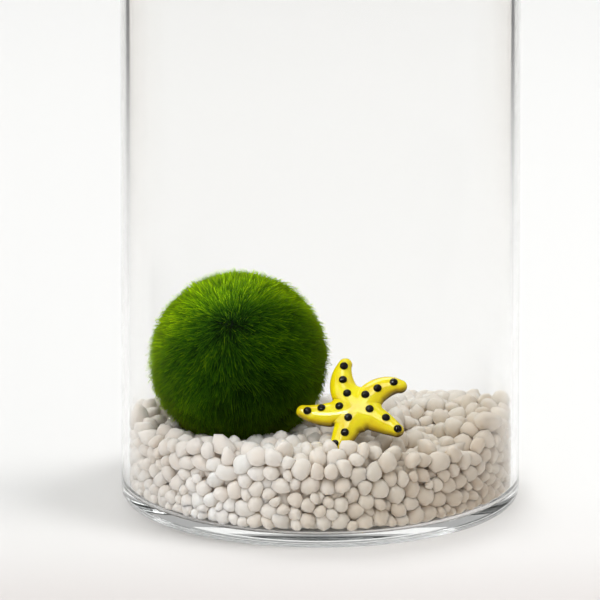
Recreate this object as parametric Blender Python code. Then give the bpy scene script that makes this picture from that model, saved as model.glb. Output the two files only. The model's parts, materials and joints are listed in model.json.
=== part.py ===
"""A marimo moss ball in its display jar.

A tall open glass cylinder holds a bed of white gravel. The moss ball nestles in the gravel, and a
glazed starfish with raised dots leans on the gravel beside it. Metres, +Z up. The origin is the
centre of the jar's underside, and the jar's front faces -Y.
"""

import math

import bmesh
import bpy
import numpy as np
from mathutils import Matrix, Vector
from mathutils.bvhtree import BVHTree

MM = 0.001
GAP = 0.3 * MM  # left between pieces that touch
SEED = 7

# Jar: a straight cylinder with a thick flat base, a rounded heel and a fire-polished rim
JAR_RADIUS = 50 * MM
JAR_HEIGHT = 150 * MM
JAR_WALL = 1.9 * MM
JAR_BASE = 3.1 * MM
HEEL_RADIUS = 2.5 * MM
FLOOR_CORNER = 2.5 * MM
JAR_SEGMENTS = 64
JAR_INSIDE = JAR_RADIUS - JAR_WALL

# Moss ball: nearly round, with a slightly tufted outline that reaches the tips of its filaments
BALL_CENTRE = Vector((-20.4, -8.0, 37.6)) * MM
BALL_RADIUS = 22.35 * MM
BALL_TUFT = 0.45 * MM
BALL_SUBDIVISIONS = 4

# Starfish: it leans back, turned a little to the jar's right, and its plan is given in its own plane
STAR_CENTRE = Vector((8.8, -28.5, 31.8)) * MM
STAR_LEAN = math.radians(42)
STAR_YAW = math.radians(-10)
STAR_HUB = (0.2, -1.4)  # where the arms' ridges meet, in mm as all of the plan is
STAR_ARMS = (  # each arm's point halfway along and its tip, anticlockwise from the top arm
    ((-4.0, 5.2), (-3.4, 12.0)),
    ((-7.1, -3.4), (-14.2, -2.4)),
    ((-1.8, -8.3), (-3.9, -14.2)),
    ((6.4, -4.4), (12.2, -7.4)),
    ((6.0, 4.5), (11.6, 5.1)),
)
STAR_VALLEYS = (  # the notch before each arm, anticlockwise
    (1.1, 4.6),
    (-5.8, 0.9),
    (-5.4, -6.5),
    (3.0, -7.6),
    (6.5, 0.2),
)
ARM_HALF_WIDTH = (3.8, 1.3)  # at the hub and at the tip, and by the square of the share between
ARM_NECK = 0.42  # share of the arm where the notch's curve has become the arm's side
NOTCH_ROUNDING = 0.6  # the larger, the wider the notches are rounded
ARM_FRONT = (2.7, 1.5)  # height of the rounded front over the middle plane, at the hub and the tip
ARM_BACK = (1.8, 1.0)  # depth of the flatter back under it
DOT_RADIUS = 1.1 * MM
DOT_HEIGHT = 0.6 * MM
DOT_GAP = 0.06 * MM
STAR_DOTS = (
    (-2.1, 1.75), (-3.65, 5.6), (-3.9, 9.6),
    (-3.65, -1.9), (-8.15, -2.4), (-11.6, -3.3),
    (-1.05, -4.9), (-1.5, -8.9), (-3.7, -12.0),
    (4.0, -2.25), (8.25, -4.2), (11.5, -7.0),
    (2.5, 1.6), (5.3, 3.65), (9.05, 5.75),
)

# Gravel: a bed of pebbles, level at the front of the jar and raked down towards its back
BED_RADIUS = JAR_INSIDE - 0.4 * MM
BED_BOTTOM = JAR_BASE + GAP
BED_LEVEL = 24.4 * MM
BED_FRONT_RISE = 1.4 * MM
BED_BACK_DROP = 13.0 * MM
BED_RINGS = 20
BED_SIDE_ROWS = 7
PEBBLE_RISE = 1.0 * MM
PEBBLE_JITTER = 0.35 * MM
SIDE_DENT = 1.2 * MM
HEAP_PLACE = Vector((25.8, 40.0)) * MM
HEAP_RISE = 1.2 * MM
HEAP_SPREAD = 9.0 * MM
FOOT_PLACE = Vector((8.5, -43.5)) * MM  # a little more gravel at the starfish's lowest arm
FOOT_RISE = 3.2 * MM
FOOT_SPREAD = 4.5 * MM
SIDE_START = 26 * MM  # right of here the bed rises to the glass
SIDE_RISE = 2.6 * MM
DISH_DEPTH = 3.0 * MM
DISH_RADIUS = 18.0 * MM
DISH_SPREAD = 7.0 * MM
PIT_REACH = 2.4 * MM  # how far around the starfish the gravel stays under it


def clear_scene():
    for obj in list(bpy.data.objects):
        bpy.data.objects.remove(obj, do_unlink=True)


def make_material(name, colour, roughness, transmission=0.0):
    material = bpy.data.materials.new(name)
    material.use_nodes = True
    shader = material.node_tree.nodes["Principled BSDF"]
    shader.inputs["Base Color"].default_value = (*colour, 1)
    shader.inputs["Roughness"].default_value = roughness
    shader.inputs["Metallic"].default_value = 0.0
    shader.inputs["Transmission Weight"].default_value = transmission
    return material


def add_object(name, bm, material):
    """Turns a bmesh into a named object with its material."""
    mesh = bpy.data.meshes.new(name)
    bm.to_mesh(mesh)
    bm.free()
    mesh.materials.append(material)
    obj = bpy.data.objects.new(name, mesh)
    bpy.context.collection.objects.link(obj)
    return obj


def arc(centre, radius, start, end, steps):
    """Points (r, z) on an arc, angles in degrees, both ends included."""
    angles = np.radians(np.linspace(start, end, steps + 1))
    return [(centre[0] + radius * math.cos(a), centre[1] + radius * math.sin(a)) for a in angles]


def build_jar(material):
    """Turns the wall's section about the jar's axis, from the inner floor over the rim to the underside."""
    rim = JAR_WALL / 2
    inner_corner = (JAR_INSIDE - FLOOR_CORNER, JAR_BASE + FLOOR_CORNER)
    heel = (JAR_RADIUS - HEEL_RADIUS, HEEL_RADIUS)
    profile = [(0, JAR_BASE)]
    profile += arc(inner_corner, FLOOR_CORNER, -90, 0, 4)
    profile += arc((JAR_RADIUS - rim, JAR_HEIGHT - rim), rim, 180, 0, 6)
    profile += arc(heel, HEEL_RADIUS, 0, -90, 5)
    profile += [(0, 0)]
    bm = bmesh.new()
    points = [bm.verts.new((r, 0, z)) for r, z in profile]
    for first, second in zip(points, points[1:]):
        bm.edges.new((first, second))
    jar = add_object("jar", bm, material)
    turn = jar.modifiers.new("Turned section", "SCREW")
    turn.steps = JAR_SEGMENTS
    turn.render_steps = JAR_SEGMENTS
    turn.use_merge_vertices = True
    turn.merge_threshold = 0.00001
    turn.use_smooth_shade = True
    return jar


def build_moss_ball(material):
    """A geodesic ball whose radius wavers a little, like combed tufts of filaments."""
    bm = bmesh.new()
    bmesh.ops.create_icosphere(bm, subdivisions=BALL_SUBDIVISIONS, radius=1.0)
    for vert in bm.verts:
        x, y, z = vert.co
        waver = math.sin(5 * x + 3 * z) * math.cos(6 * y - 2 * x) + math.sin(9 * z + 4 * y)
        vert.co *= BALL_RADIUS - BALL_TUFT * (0.5 + 0.25 * waver)
    ball = add_object("moss_ball", bm, material)
    ball.location = BALL_CENTRE
    ball.data.shade_smooth()
    return ball


def mix(pair, share):
    return pair[0] + (pair[1] - pair[0]) * share


def unit(vector):
    return vector / np.linalg.norm(vector)


def arm_side(hub, middle, tip, notch, side, steps):
    """Columns (share, ridge point, outline point) from the notch to where the arm's round tip starts.

    The ridge is a quadratic curve from the hub through the arm's middle to its tip. The outline is
    that curve pushed sideways by the half width, and up to the neck a Hermite curve from the notch.
    """
    control = 2 * middle - (hub + tip) / 2
    ridge = lambda t: (1 - t) ** 2 * hub + 2 * t * (1 - t) * control + t * t * tip
    along = lambda t: unit((1 - t) * (control - hub) + t * (tip - control))
    across = lambda t: side * np.array((-along(t)[1], along(t)[0]))
    outer = lambda t: ridge(t) + across(t) * mix(ARM_HALF_WIDTH, t * t)
    neck = outer(ARM_NECK)
    reach = np.linalg.norm(neck - notch)
    spread = unit(notch - hub)
    leave = np.array((spread[1], -spread[0])) * -side * reach * NOTCH_ROUNDING
    arrive = along(ARM_NECK) * reach
    last = 1 - ARM_HALF_WIDTH[1] / np.linalg.norm(tip - hub)
    columns = []
    for t in np.linspace(0, last, steps + 1):
        if t < ARM_NECK:
            s = t / ARM_NECK
            edge = (1 + 2 * s) * (1 - s) ** 2 * notch + s * (1 - s) ** 2 * leave
            edge = edge + s * s * (3 - 2 * s) * neck - s * s * (1 - s) * arrive
        else:
            edge = outer(t)
        columns.append((t, ridge(t), edge))
    return columns, along(last), across(last)


def star_columns(side_steps=5, tip_steps=4):
    """The starfish's plan, in mm, as columns (share along the arm, ridge point, outline point)."""
    hub = np.array(STAR_HUB)
    valleys = np.array(STAR_VALLEYS)
    columns = []
    for i, (middle, tip) in enumerate(np.array(STAR_ARMS)):
        right, ahead, outward = arm_side(hub, middle, tip, valleys[i], -1, side_steps)
        left, _, _ = arm_side(hub, middle, tip, valleys[(i + 1) % len(valleys)], 1, side_steps)
        share, centre, edge = right[-1]
        radius = np.linalg.norm(edge - centre)
        columns += right[:-1]
        for a in np.linspace(0, math.pi, tip_steps + 1):
            turn = outward * math.cos(a) + ahead * math.sin(a)
            columns.append((share, centre, centre + turn * radius))
        columns += left[-2:0:-1]
    return columns


def build_starfish(material):
    """Elliptical sections from the ridge to the outline, front and back, joined along the ridges."""
    front = np.radians([0, 30, 60, 90])
    back = np.radians([60, 0])
    bm = bmesh.new()
    rows = []
    for share, ridge, edge in star_columns():
        column = []
        for a in front:
            place = ridge + (edge - ridge) * math.sin(a)
            column.append((*place, mix(ARM_FRONT, share) * math.cos(a)))
        for a in back:
            place = ridge + (edge - ridge) * math.sin(a)
            column.append((*place, -mix(ARM_BACK, share) * math.cos(a)))
        rows.append([bm.verts.new(Vector(p) * MM) for p in column])
    for row, after in zip(rows, rows[1:] + rows[:1]):
        for i in range(len(row) - 1):
            bm.faces.new((row[i], row[i + 1], after[i + 1], after[i]))
    bmesh.ops.remove_doubles(bm, verts=bm.verts, dist=0.02 * MM)
    bmesh.ops.dissolve_degenerate(bm, edges=bm.edges, dist=0.001 * MM)
    bmesh.ops.triangulate(bm, faces=bm.faces)
    bmesh.ops.recalc_face_normals(bm, faces=bm.faces)
    star = add_object("starfish", bm, material)
    star.data.shade_smooth()
    lean = Matrix.Rotation(STAR_YAW, 4, "Z") @ Matrix.Rotation(math.radians(90) - STAR_LEAN, 4, "X")
    star.matrix_world = Matrix.Translation(STAR_CENTRE) @ lean
    return star


def build_dots(star, material):
    """One domed drop of glaze for each dot, set square on the front of the starfish."""
    bm = bmesh.new()
    bmesh.ops.create_uvsphere(bm, u_segments=10, v_segments=6, radius=1.0)
    lower = [v for v in bm.verts if v.co.z < -0.01]
    bmesh.ops.delete(bm, geom=lower, context="VERTS")
    bmesh.ops.holes_fill(bm, edges=[e for e in bm.edges if e.is_boundary])
    bmesh.ops.scale(bm, vec=(DOT_RADIUS, DOT_RADIUS, DOT_HEIGHT), verts=bm.verts)
    bmesh.ops.recalc_face_normals(bm, faces=bm.faces)
    drop = bpy.data.meshes.new("dot")
    bm.to_mesh(drop)
    bm.free()
    drop.materials.append(material)
    star_points = [v.co.copy() for v in star.data.vertices]
    surface = BVHTree.FromPolygons(star_points, [tuple(p.vertices) for p in star.data.polygons])
    above = 10 * MM
    for number, (u, w) in enumerate(STAR_DOTS, start=1):
        place, normal, _, _ = surface.ray_cast(Vector((u * MM, w * MM, above)), Vector((0, 0, -1)))
        dot = bpy.data.objects.new(f"starfish_dot_{number:02d}", drop)
        bpy.context.collection.objects.link(dot)
        dot.parent = star
        turn = normal.to_track_quat("Z", "Y").to_matrix().to_4x4()
        dot.matrix_local = Matrix.Translation(place + normal * DOT_GAP) @ turn


def bed_height(x, y):
    """The gravel's smooth surface: a front plateau, a rake to the back, rises and a dish at the ball."""
    front = min(max(-y / JAR_INSIDE, 0), 1)
    back = min(max(y / JAR_INSIDE, 0), 1)
    height = BED_LEVEL + BED_FRONT_RISE * front**2 - BED_BACK_DROP * back
    height += 1.0 * MM * front * math.cos(math.tau * (x + 20 * MM) / (90 * MM))
    from_heap = (Vector((x, y)) - HEAP_PLACE).length
    height += HEAP_RISE * math.exp(-((from_heap / HEAP_SPREAD) ** 2) / 2)
    from_foot = (Vector((x, y)) - FOOT_PLACE).length
    height += FOOT_RISE * math.exp(-((from_foot / FOOT_SPREAD) ** 2) / 2)
    height += SIDE_RISE * min(max((x - SIDE_START) / (JAR_INSIDE - SIDE_START), 0), 1)
    from_ball = (Vector((x, y)) - BALL_CENTRE.xy).length
    return height - DISH_DEPTH * math.exp(-(((from_ball - DISH_RADIUS) / DISH_SPREAD) ** 2))


def under_ball(x, y):
    """The height at which the moss ball starts over a place, less the gap."""
    reach = BALL_RADIUS + 2 * GAP
    off = (Vector((x, y)) - BALL_CENTRE.xy).length
    if off >= reach:
        return math.inf
    return BALL_CENTRE.z - math.sqrt(reach**2 - off**2)


def under_star(surface, x, y):
    """The lowest point of the starfish over a place and close around it, less the gap."""
    lowest = math.inf
    for a in np.linspace(0, math.tau, 8, endpoint=False):
        for reach in (0, PIT_REACH / 2, PIT_REACH):
            start = Vector((x + reach * math.cos(a), y + reach * math.sin(a), 0))
            place, _, _, _ = surface.ray_cast(start, Vector((0, 0, 1)))
            if place is not None:
                lowest = min(lowest, place.z - 2 * GAP)
    return lowest


def build_gravel_bed(star, material):
    """One closed lumpy solid on a honeycomb of points, one in three of them the top of a pebble."""
    star_points = [star.matrix_world @ v.co for v in star.data.vertices]
    surface = BVHTree.FromPolygons(star_points, [tuple(p.vertices) for p in star.data.polygons])
    random = np.random.default_rng(SEED)
    bm = bmesh.new()
    rings = []
    for i in range(BED_RINGS + 1):
        ring = []
        for j in range(max(6 * i, 1)):
            is_top = (i + j % max(i, 1)) % 3 == 0
            shift = random.uniform(-PEBBLE_JITTER, PEBBLE_JITTER, 3)
            inside = i < BED_RINGS
            radius = BED_RADIUS * i / BED_RINGS + (shift[0] if inside else 0)
            a = math.tau * j / max(6 * i, 1) + (shift[1] / radius if i else 0)
            x, y = radius * math.cos(a), radius * math.sin(a)
            z = bed_height(x, y) + (PEBBLE_RISE if is_top else -PEBBLE_RISE) + shift[2]
            z = min(z, under_ball(x, y), under_star(surface, x, y))
            ring.append(bm.verts.new((x, y, z)))
        rings.append(ring)
    for i in range(1, BED_RINGS + 1):
        inner, outer = rings[i - 1], rings[i]
        for sector in range(6):
            for m in range(i):
                near = inner[(sector * (i - 1) + m) % len(inner)]
                first = outer[sector * i + m]
                second = outer[(sector * i + m + 1) % len(outer)]
                bm.faces.new((near, first, second))
                if m < i - 1:
                    next_near = inner[(sector * (i - 1) + m + 1) % len(inner)]
                    bm.faces.new((near, second, next_near))
    upper = rings[-1]
    around = len(upper)
    for row in range(1, BED_SIDE_ROWS + 1):
        share = row / BED_SIDE_ROWS
        lower = []
        for j, top in enumerate(rings[-1]):
            a = math.tau * j / around
            is_top = (j - row) % 3 == 0
            low_corner = FLOOR_CORNER * (row == BED_SIDE_ROWS)
            radius = BED_RADIUS - SIDE_DENT * (not is_top) - low_corner
            z = top.co.z + (BED_BOTTOM - top.co.z) * share
            lower.append(bm.verts.new((radius * math.cos(a), radius * math.sin(a), z)))
        for j in range(around):
            k = (j + 1) % around
            bm.faces.new((upper[j], lower[j], upper[k]))
            bm.faces.new((upper[k], lower[j], lower[k]))
        upper = lower
    bm.faces.new(upper)
    bmesh.ops.recalc_face_normals(bm, faces=bm.faces)
    return add_object("gravel_bed", bm, material)


clear_scene()
glass = make_material("clear glass", (0.96, 0.98, 0.98), 0.02, transmission=1.0)
gravel = make_material("white gravel", (0.78, 0.74, 0.69), 0.6)
moss = make_material("green moss", (0.08, 0.22, 0.02), 0.95)
yellow_glaze = make_material("yellow glaze", (0.85, 0.66, 0.03), 0.1)
black_glaze = make_material("black glaze", (0.012, 0.011, 0.01), 0.1)

build_jar(glass)
build_moss_ball(moss)
starfish = build_starfish(yellow_glaze)
build_dots(starfish, black_glaze)
build_gravel_bed(starfish, gravel)
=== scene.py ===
"""A marimo moss ball in its display jar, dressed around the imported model.

Metres, +Z up. The origin is the centre of the jar's underside, and the jar's front faces -Y.
"""

import json
import math

import bmesh
import bpy
import numpy as np
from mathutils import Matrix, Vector
from mathutils.bvhtree import BVHTree

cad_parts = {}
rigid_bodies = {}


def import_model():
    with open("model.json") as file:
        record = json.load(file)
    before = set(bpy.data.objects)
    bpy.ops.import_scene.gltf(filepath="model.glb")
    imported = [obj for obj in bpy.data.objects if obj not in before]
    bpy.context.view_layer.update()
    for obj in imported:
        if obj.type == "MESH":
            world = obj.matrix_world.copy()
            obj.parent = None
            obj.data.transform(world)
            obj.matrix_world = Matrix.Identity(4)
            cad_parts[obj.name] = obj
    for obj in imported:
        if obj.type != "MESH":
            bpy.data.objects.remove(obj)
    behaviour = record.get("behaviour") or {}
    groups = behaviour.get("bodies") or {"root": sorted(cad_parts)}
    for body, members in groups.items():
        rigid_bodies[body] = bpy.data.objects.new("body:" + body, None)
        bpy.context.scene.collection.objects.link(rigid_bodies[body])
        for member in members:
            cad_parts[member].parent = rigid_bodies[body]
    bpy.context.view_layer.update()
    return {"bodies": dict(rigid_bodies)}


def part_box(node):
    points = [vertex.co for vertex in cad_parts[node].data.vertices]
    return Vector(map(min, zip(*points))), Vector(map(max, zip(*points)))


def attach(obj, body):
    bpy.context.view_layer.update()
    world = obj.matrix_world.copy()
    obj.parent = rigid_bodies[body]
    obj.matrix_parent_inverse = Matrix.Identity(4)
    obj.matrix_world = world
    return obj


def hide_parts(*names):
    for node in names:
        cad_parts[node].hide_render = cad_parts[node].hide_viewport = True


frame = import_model()
MM = 0.001
body = next(iter(frame["bodies"]))

# Camera
# A long lens a few metres away, a little above the jar, which looks down on the gravel and crops the
# top of the glass. The pixel places are those of the jar's foot and of the middle of the picture.
PICTURE_WIDTH = 600
PIXELS_PER_METRE = 3987
LOOK_DOWN = math.radians(15.5)
FOOT_PIXEL = (320.3, 494.9)
LENS = 1000
SENSOR = 36

middle = PICTURE_WIDTH / 2
aim = Vector((
    (middle - FOOT_PIXEL[0]) / PIXELS_PER_METRE,
    0,
    (FOOT_PIXEL[1] - middle) / PIXELS_PER_METRE / math.cos(LOOK_DOWN),
))
to_camera = Vector((0, -math.cos(LOOK_DOWN), math.sin(LOOK_DOWN)))
camera_data = bpy.data.cameras.new("camera")
camera_data.lens = LENS
camera_data.sensor_width = SENSOR
camera = bpy.data.objects.new("camera", camera_data)
camera.location = aim + to_camera * (PICTURE_WIDTH / PIXELS_PER_METRE * LENS / SENSOR)
camera.rotation_euler = to_camera.to_track_quat("Z", "Y").to_euler()
bpy.context.scene.collection.objects.link(camera)
bpy.context.scene.camera = camera

# Jar
# One open cylinder of clear glass, drawn in one piece with its thick flat base. The heel and the
# corner of the floor are rounded, and the cut rim is melted to a half round.
jar_low, jar_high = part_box("jar")
JAR_RADIUS = jar_high.x
JAR_HEIGHT = jar_high.z
JAR_WALL = 1.9 * MM
JAR_BASE = 3.1 * MM
HEEL_RADIUS = 2.5 * MM
FLOOR_CORNER = 2.5 * MM
JAR_INSIDE = JAR_RADIUS - JAR_WALL
JAR_SEGMENTS = 256
ARC_EASE = 0.2 * MM  # short flat beside each arc, so that the long walls stay straight in the light
CORNER_STEPS = 10  # of the arcs at the floor's corner and at the heel
RIM_STEPS = 14
JOIN = 0.001 * MM  # points nearer than this, as at a pole, are made one
GLASS_IOR = 1.3
GLASS_GLOSS = (0.08, 0.08, 0.08, 1)  # share of the mirrored light that shows
GLASS_ABSORBS = (0.86, 0.9, 0.89, 1)
GLASS_DENSITY = 3
GLASS_PAINTED_EDGE = (  # painted dark reflection along the upright edges: how much light the wall lets through, by its slant to the eye
    (0.36, (0.976, 0.974, 0.971, 1)),
    (0.5, (0.935, 0.922, 0.902, 1)),
    (0.64, (0.79, 0.755, 0.72, 1)),
    (0.695, (0.62, 0.58, 0.54, 1)),
    (0.715, (0.01, 0.01, 0.01, 1)),
    (0.755, (0.01, 0.01, 0.01, 1)),
    (0.785, (0.45, 0.45, 0.43, 1)),
    (1.0, (0.8, 0.8, 0.78, 1)),
)
PAINTED_EDGE_HEIGHTS = (36 * MM, 128 * MM)  # the painted dark edge grows from none to full between these heights
OUTER_FACE = 0.3 * MM  # and is only on faces that lie this near the jar's full radius


def grid_faces(rows, columns, wrap_rows=False, wrap_columns=False):
    """Quads of a grid whose point (i, j) has the number i * columns + j."""
    i = np.arange(rows if wrap_rows else rows - 1)[:, None]
    j = np.arange(columns if wrap_columns else columns - 1)[None, :]
    down, right = (i + 1) % rows, (j + 1) % columns
    corners = (i * columns + j, down * columns + j, down * columns + right, i * columns + right)
    return np.stack([np.broadcast_to(c, (i.size, j.size)) for c in corners], axis=-1).reshape(-1, 4)


def new_piece(name, points, faces, material, nodes, merge=0.0):
    """A smooth mesh from points (n, 3) and faces (m, 3 or 4), which stands for the named nodes.

    With merge, points that meet are joined, and faces that shrank to nothing there are dropped.
    """
    points = np.asarray(points, np.float32).reshape(-1, 3)
    mesh = bpy.data.meshes.new(name)
    mesh.vertices.add(len(points))
    mesh.vertices.foreach_set("co", points.ravel())
    mesh.loops.add(faces.size)
    mesh.loops.foreach_set("vertex_index", faces.ravel().astype(np.int32))
    mesh.polygons.add(len(faces))
    starts = np.arange(len(faces), dtype=np.int32) * faces.shape[1]
    mesh.polygons.foreach_set("loop_start", starts)
    mesh.update(calc_edges=True)
    if merge:
        bm = bmesh.new()
        bm.from_mesh(mesh)
        bmesh.ops.remove_doubles(bm, verts=bm.verts, dist=merge)
        bmesh.ops.dissolve_degenerate(bm, edges=bm.edges, dist=merge / 10)
        bmesh.ops.recalc_face_normals(bm, faces=bm.faces)
        bm.to_mesh(mesh)
        bm.free()
    mesh.shade_smooth()
    mesh.materials.append(material)
    piece = bpy.data.objects.new(name, mesh)
    bpy.context.scene.collection.objects.link(piece)
    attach(piece, body)
    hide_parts(*nodes)
    return piece


def arc(centre, radius, start, end, steps):
    """Points (r, z) on an arc, angles in degrees, both ends included."""
    a = np.radians(np.linspace(start, end, steps + 1))
    return np.stack([centre[0] + radius * np.cos(a), centre[1] + radius * np.sin(a)], axis=1)


def jar_section():
    """The wall's section, from the middle of the inner floor over the rim to the middle underneath."""
    rim = JAR_WALL / 2
    corner = (JAR_INSIDE - FLOOR_CORNER, JAR_BASE + FLOOR_CORNER)
    heel = (JAR_RADIUS - HEEL_RADIUS, HEEL_RADIUS)
    return np.concatenate([
        [(0, JAR_BASE), (corner[0] - ARC_EASE, JAR_BASE)],
        arc(corner, FLOOR_CORNER, -90, 0, CORNER_STEPS),
        [(JAR_INSIDE, corner[1] + ARC_EASE), (JAR_INSIDE, JAR_HEIGHT - rim - ARC_EASE)],
        arc((JAR_RADIUS - rim, JAR_HEIGHT - rim), rim, 180, 0, RIM_STEPS),
        [(JAR_RADIUS, JAR_HEIGHT - rim - ARC_EASE), (JAR_RADIUS, heel[1] + ARC_EASE)],
        arc(heel, HEEL_RADIUS, 0, -90, CORNER_STEPS),
        [(heel[0] - ARC_EASE, 0), (0, 0)],
    ])


def turned(section, segments):
    """A section of (r, z) turned about the Z axis: (r cos a, r sin a, z) for each of its points."""
    a = np.linspace(0, math.tau, segments, endpoint=False)[None, :]
    r, z = section[:, 0:1], section[:, 1:2]
    return np.stack([r * np.cos(a), r * np.sin(a), z + 0 * a], axis=-1)


def new_material(name, roughness):
    """An empty material with one Principled shader: returns it, its node tree and the shader."""
    material = bpy.data.materials.new(name)
    material.use_nodes = True
    tree = material.node_tree
    shader = tree.nodes["Principled BSDF"]
    shader.inputs["Roughness"].default_value = roughness
    return material, tree, shader


def ramp(tree, stops, source):
    """A colour ramp with these (position, colour) stops, fed by a socket: returns its colour socket."""
    node = tree.nodes.new("ShaderNodeValToRGB")
    elements = node.color_ramp.elements
    while len(elements) < len(stops):
        elements.new(0.5)
    for element, (position, colour) in zip(elements, stops):
        element.position = position
        element.color = colour
    tree.links.new(source, node.inputs["Fac"])
    return node.outputs["Color"]


def feed(tree, socket, value):
    """Links a socket to another one, or sets it to a number, a vector or a colour."""
    if isinstance(value, bpy.types.NodeSocket):
        tree.links.new(value, socket)
    else:
        socket.default_value = value


def own_place(tree):
    """The piece's own coordinates, in metres."""
    return tree.nodes.new("ShaderNodeTexCoord").outputs["Object"]


def own_axes(tree):
    """The same, split into x, y and z."""
    split = tree.nodes.new("ShaderNodeSeparateXYZ")
    tree.links.new(own_place(tree), split.inputs[0])
    return split.outputs


def math_node(tree, operation, *values):
    """A Math node of one or two values, each a socket or a number."""
    node = tree.nodes.new("ShaderNodeMath")
    node.operation = operation
    for socket, value in zip(node.inputs, values):
        feed(tree, socket, value)
    return node.outputs[0]


def spread(tree, value, reach, ends=(0, 1), smooth=False):
    """A value from within a reach, brought to between these ends, and eased at both if smooth."""
    node = tree.nodes.new("ShaderNodeMapRange")
    if smooth:
        node.interpolation_type = "SMOOTHSTEP"
    for name, given in zip(("From Min", "From Max", "To Min", "To Max"), (*reach, *ends)):
        feed(tree, node.inputs[name], given)
    tree.links.new(value, node.inputs["Value"])
    return node.outputs["Result"]


def blended(tree, share, first, second, way="MIX"):
    """Two colours blended by a share, each a socket or a value."""
    node = tree.nodes.new("ShaderNodeMix")
    node.data_type = "RGBA"
    node.blend_type = way
    for name, value in (("Factor", share), ("A", first), ("B", second)):
        feed(tree, node.inputs[name], value)
    return node.outputs["Result"]


def blended_shader(tree, share, first, second):
    """Two shaders mixed by a share."""
    node = tree.nodes.new("ShaderNodeMixShader")
    for socket, value in zip(node.inputs, (share, first, second)):
        feed(tree, socket, value)
    return node.outputs[0]


def clear_glass():
    """Clear glass. Its upright edges carry a painted dark reflection, more towards the top, where one looks
    along the wall.

    Shadow and soft light pass straight through it.
    """
    material, tree, shader = new_material("clear glass", 0.0)
    shader.inputs["Transmission Weight"].default_value = 1.0
    shader.inputs["IOR"].default_value = GLASS_IOR
    shader.inputs["Specular Tint"].default_value = GLASS_GLOSS
    x, y, z = own_axes(tree)
    from_axis = math_node(tree, "ADD", math_node(tree, "POWER", x, 2), math_node(tree, "POWER", y, 2))
    outer = math_node(tree, "GREATER_THAN", from_axis, (JAR_RADIUS - OUTER_FACE) ** 2)
    share = math_node(tree, "MULTIPLY", outer, spread(tree, z, PAINTED_EDGE_HEIGHTS, smooth=True))
    # painted reflection: the outer wall's tint turns dark where it is seen edge-on, as dark surroundings
    # would show
    slant = tree.nodes.new("ShaderNodeLayerWeight").outputs["Facing"]
    painted_edge_tint = blended(tree, share, GLASS_PAINTED_EDGE[0][1], ramp(tree, GLASS_PAINTED_EDGE, slant))
    tree.links.new(painted_edge_tint, shader.inputs["Base Color"])
    ray = tree.nodes.new("ShaderNodeLightPath")
    straight = tree.nodes.new("ShaderNodeBsdfTransparent")
    surface = shader.outputs[0]
    for kind in ("Is Diffuse Ray", "Is Shadow Ray"):
        surface = blended_shader(tree, ray.outputs[kind], surface, straight.outputs[0])
    inside = tree.nodes.new("ShaderNodeVolumeAbsorption")
    inside.inputs["Color"].default_value = GLASS_ABSORBS
    inside.inputs["Density"].default_value = GLASS_DENSITY
    result = tree.nodes["Material Output"]
    tree.links.new(surface, result.inputs["Surface"])
    tree.links.new(inside.outputs[0], result.inputs["Volume"])
    return material


section = jar_section()
new_piece(
    "jar_glass", turned(section, JAR_SEGMENTS), grid_faces(len(section), JAR_SEGMENTS, wrap_columns=True),
    clear_glass(), ["jar"], merge=JOIN,
)

# Starfish
# One cast ornament with five bent arms under a thick yellow glaze. It leans back on the gravel, with
# the end of its lowest arm between the pebbles. Its plan is given in its own plane, in mm.
STAR_CENTRE = np.array((8.8, -28.5, 31.8)) * MM
STAR_LEAN = math.radians(42)  # back from upright
STAR_YAW = math.radians(-10)  # of its front, from the jar's front
STAR_HUB = (0.2, -1.4)
STAR_ARMS = (  # each arm's point halfway along and its tip, anticlockwise from the top arm
    ((-4.0, 5.2), (-3.4, 12.0)),
    ((-7.1, -3.4), (-14.2, -2.4)),
    ((-1.8, -8.3), (-3.9, -14.2)),
    ((6.4, -4.4), (12.2, -7.4)),
    ((6.0, 4.5), (11.6, 5.1)),
)
STAR_VALLEYS = (  # the notch before each arm, anticlockwise
    (1.1, 4.6),
    (-5.8, 0.9),
    (-5.4, -6.5),
    (3.0, -7.6),
    (6.5, 0.2),
)
ARM_HALF_WIDTH = (3.8, 1.3)  # at the hub and at the tip, and by the square of the share between
ARM_NECK = 0.42  # share of the arm where the notch's curve has become the arm's side
NOTCH_ROUNDING = 0.6  # the larger, the wider the notches are rounded
ARM_FRONT = (2.7, 1.5)  # height of the rounded front over the middle plane, at the hub and the tip
ARM_BACK = (1.8, 1.0)  # depth of the flatter back under it
STAR_JOIN = 0.01 * MM
GLAZE_CLOUDS = {
    "Scale": 260, "Detail": 3, "Low": 0.3, "High": 0.62,
    "Dark": (0.86, 0.66, 0.004, 1), "Light": (0.96, 0.86, 0.006, 1),
}
GLAZE_RIPPLES = {"Scale": 420, "Detail": 2, "Strength": 0.08, "Distance": 0.4 * MM}
GLAZE_SHADED_WAY = (0.25, -0.25, -0.93)  # painted shade: faces turned this way, downwards, are browner and darker
GLAZE_SHADE_SLOPES = (-0.4, 0.7)  # cosines from that way between which its colour changes
GLAZE_PAINTED_SHADE = (  # share of the colour, from the first of them to the other
    (0.0, (1.0, 1.0, 1.0, 1)),
    (0.35, (0.88, 0.82, 0.6, 1)),
    (0.6, (0.5, 0.41, 0.3, 1)),
    (1.0, (0.1, 0.07, 0.1, 1)),
)
SIDE_STEPS = 20
TIP_STEPS = 16
FRONT_STEPS = 18
BACK_STEPS = 10


def mix(pair, share):
    """The value at a share of the way from the first of a pair to the second."""
    return pair[0] + (pair[1] - pair[0]) * share


def unit(vectors):
    """The same vectors, one long."""
    return vectors / np.linalg.norm(vectors, axis=-1, keepdims=True)


def star_matrix():
    """Turns the starfish's plane (right, up, out of its front) into the jar's space."""
    right = np.array((math.cos(STAR_YAW), math.sin(STAR_YAW), 0))
    back = np.array((-math.sin(STAR_YAW), math.cos(STAR_YAW), 0))
    up = back * math.sin(STAR_LEAN) + np.array((0, 0, math.cos(STAR_LEAN)))
    return np.stack([right, up, np.cross(right, up)])


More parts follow.
